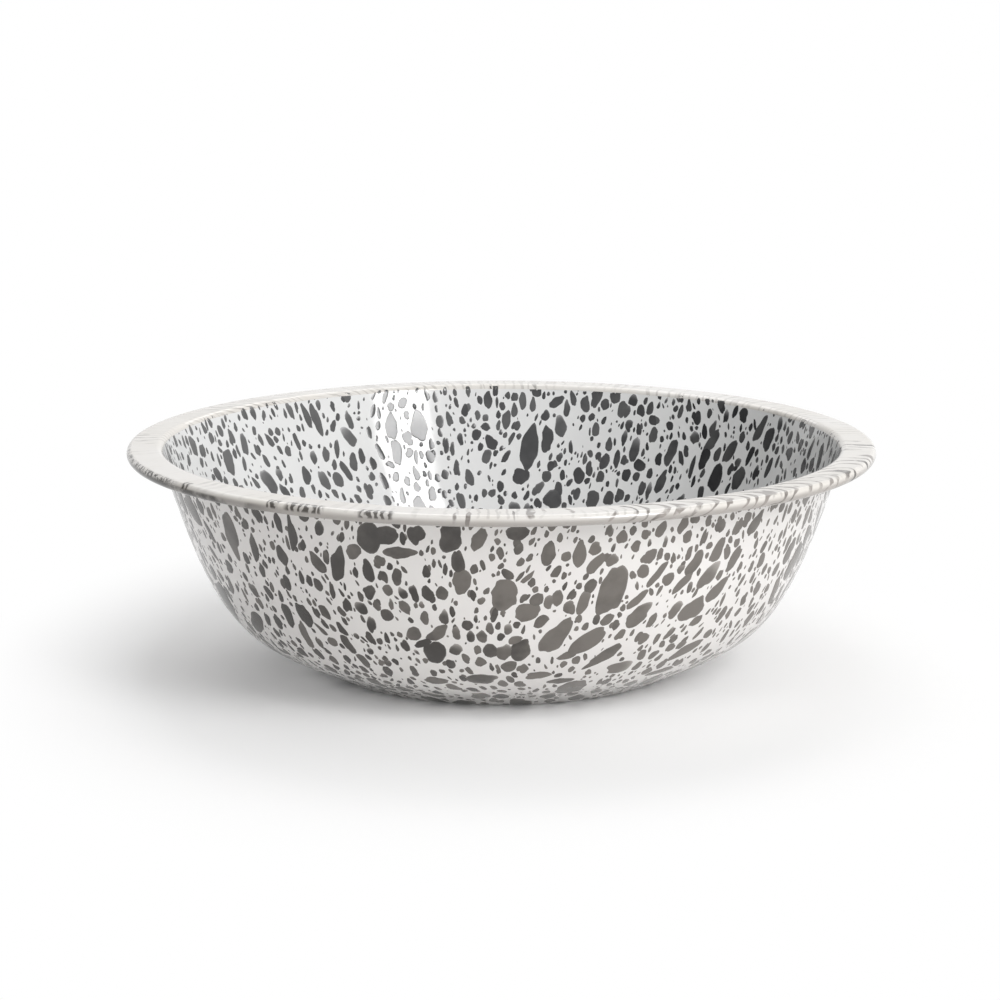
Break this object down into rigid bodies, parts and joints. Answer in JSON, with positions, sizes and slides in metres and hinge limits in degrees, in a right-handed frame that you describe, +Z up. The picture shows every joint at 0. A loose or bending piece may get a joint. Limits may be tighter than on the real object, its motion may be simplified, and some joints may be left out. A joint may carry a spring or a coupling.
{
  "type": "basin bowl",
  "caption": "Wide round basin bowl of enamelled pressed steel with a flat flange and rolled rim, white splashed with grey, on a flat foot ring.",
  "frame": {"origin": "centre of the foot ring's flat face, on the surface that the bowl stands on", "axes": "+Z up along the bowl's axis towards its mouth; +X and +Y are free, because the bowl is round, and -Y faces the picture's camera"},
  "size_m": [0.3399, 0.34, 0.104],
  "materials": {
    "sheet_steel": "pickled matt, hidden under the enamel",
    "ground_enamel": "dark fired ground coat, hidden under the cover coat",
    "white_enamel_inside": "glossy",
    "white_enamel_outside": "glossy",
    "rim_enamel": "glossy, streaked with grey",
    "grey_enamel_inside": "glossy",
    "grey_enamel_outside": "glossy"
  },
  "bodies": {
    "root": {"steel_bowl": "sheet_steel", "ground_coat_inside": "ground_enamel", "ground_coat_outside": "ground_enamel", "cover_coat_inside": "white_enamel_inside", "cover_coat_outside": "white_enamel_outside", "rim_coat": "rim_enamel", "grey_drops_inside": "grey_enamel_inside", "grey_drops_outside": "grey_enamel_outside"}
  },
  "joints": []
}
